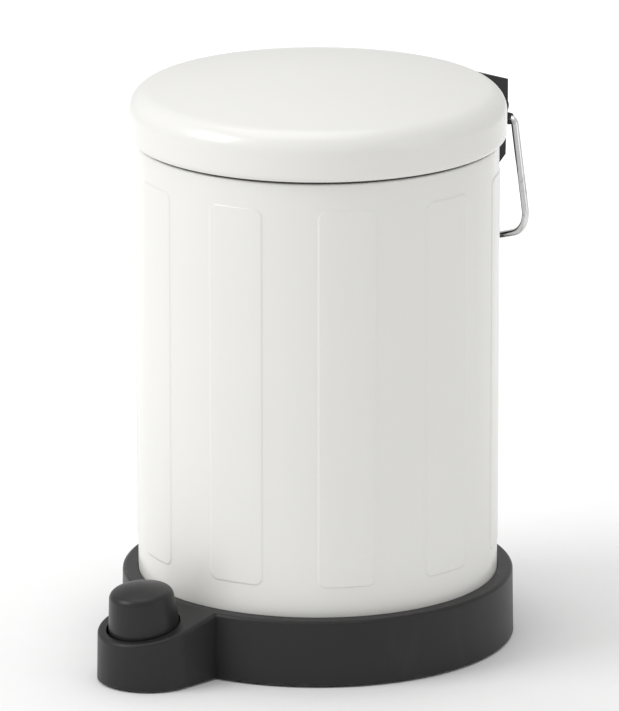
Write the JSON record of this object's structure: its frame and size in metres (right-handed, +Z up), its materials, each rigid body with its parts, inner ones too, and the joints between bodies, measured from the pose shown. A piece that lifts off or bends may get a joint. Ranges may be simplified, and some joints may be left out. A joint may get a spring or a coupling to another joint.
{
  "type": "pedal bin",
  "caption": "Round step-on waste bin: ribbed-panel steel body on a plastic foot with a front press knob, domed lid hinged at the back, wire carry handle.",
  "frame": {"origin": "on the floor under the middle of the round body, at the level of the rubber feet's undersides", "axes": "+Z up along the body's axis, -Y towards the press knob at the front, +Y towards the hinge and the carry handle"},
  "size_m": [0.1838, 0.2382, 0.2699],
  "materials": {
    "white_paint": "glossy warm white enamel",
    "black_plastic": "fine matt grain",
    "knob_plastic": "satin, worn by shoes",
    "bucket_plastic": "smooth moulded",
    "bush_plastic": "natural acetal",
    "rubber": "soft black rubber",
    "zinc_steel": "zinc plated",
    "bright_steel": "drawn wire, bright",
    "lever_steel": "folded galvanised sheet",
    "chrome_wire": "bright chrome"
  },
  "bodies": {
    "bin": {"base_housing": "black_plastic", "rubber_feet": "rubber", "base_screws": "zinc_steel", "body_shell": "white_paint", "body_floor": "zinc_steel", "inner_bucket": "bucket_plastic", "hinge_housing": "black_plastic", "hinge_backplate": "zinc_steel", "hinge_screws": "zinc_steel", "hinge_pin": "bright_steel", "rod_channel": "black_plastic", "channel_rivets": "zinc_steel", "lever_pin": "bright_steel", "lever_pin_clip": "zinc_steel"},
    "lid": {"lid_shell": "white_paint", "lid_bracket": "black_plastic", "lid_crank": "zinc_steel", "crank_rivet": "bright_steel", "lid_rivets": "bright_steel"},
    "pedal": {"pedal_lever": "lever_steel", "lever_bush": "bush_plastic", "pedal_knob": "knob_plastic", "knob_screw": "zinc_steel"},
    "push_rod": {"push_rod": "bright_steel", "rod_clips": "zinc_steel"},
    "carry_handle": {"carry_handle": "chrome_wire", "handle_bushes": "black_plastic"}
  },
  "joints": [
    {"name": "lid_hinge", "type": "hinge", "parent": "bin", "child": "lid", "pos_m": [0, 0.1006, 0.2384], "axis": [-1, 0, 0], "range_deg": [0, 80]},
    {"name": "pedal_pivot", "type": "hinge", "parent": "bin", "child": "pedal", "pos_m": [0, -0.04, 0.024], "axis": [1, 0, 0], "range_deg": [0, 7.59]},
    {"name": "rod_hook", "type": "hinge", "parent": "lid", "child": "push_rod", "pos_m": [0, 0.09026, 0.22972], "axis": [1, 0, 0], "range_deg": [0, 80]},
    {"name": "handle_pivot", "type": "hinge", "parent": "bin", "child": "carry_handle", "pos_m": [0, 0.1004, 0.2336], "axis": [1, 0, 0], "range_deg": [-2, 135]}
  ],
  "couplings": [
    {"joint": "pedal_pivot", "follows": "lid_hinge", "ratio": 0.0948},
    {"joint": "rod_hook", "follows": "lid_hinge", "ratio": 1}
  ]
}
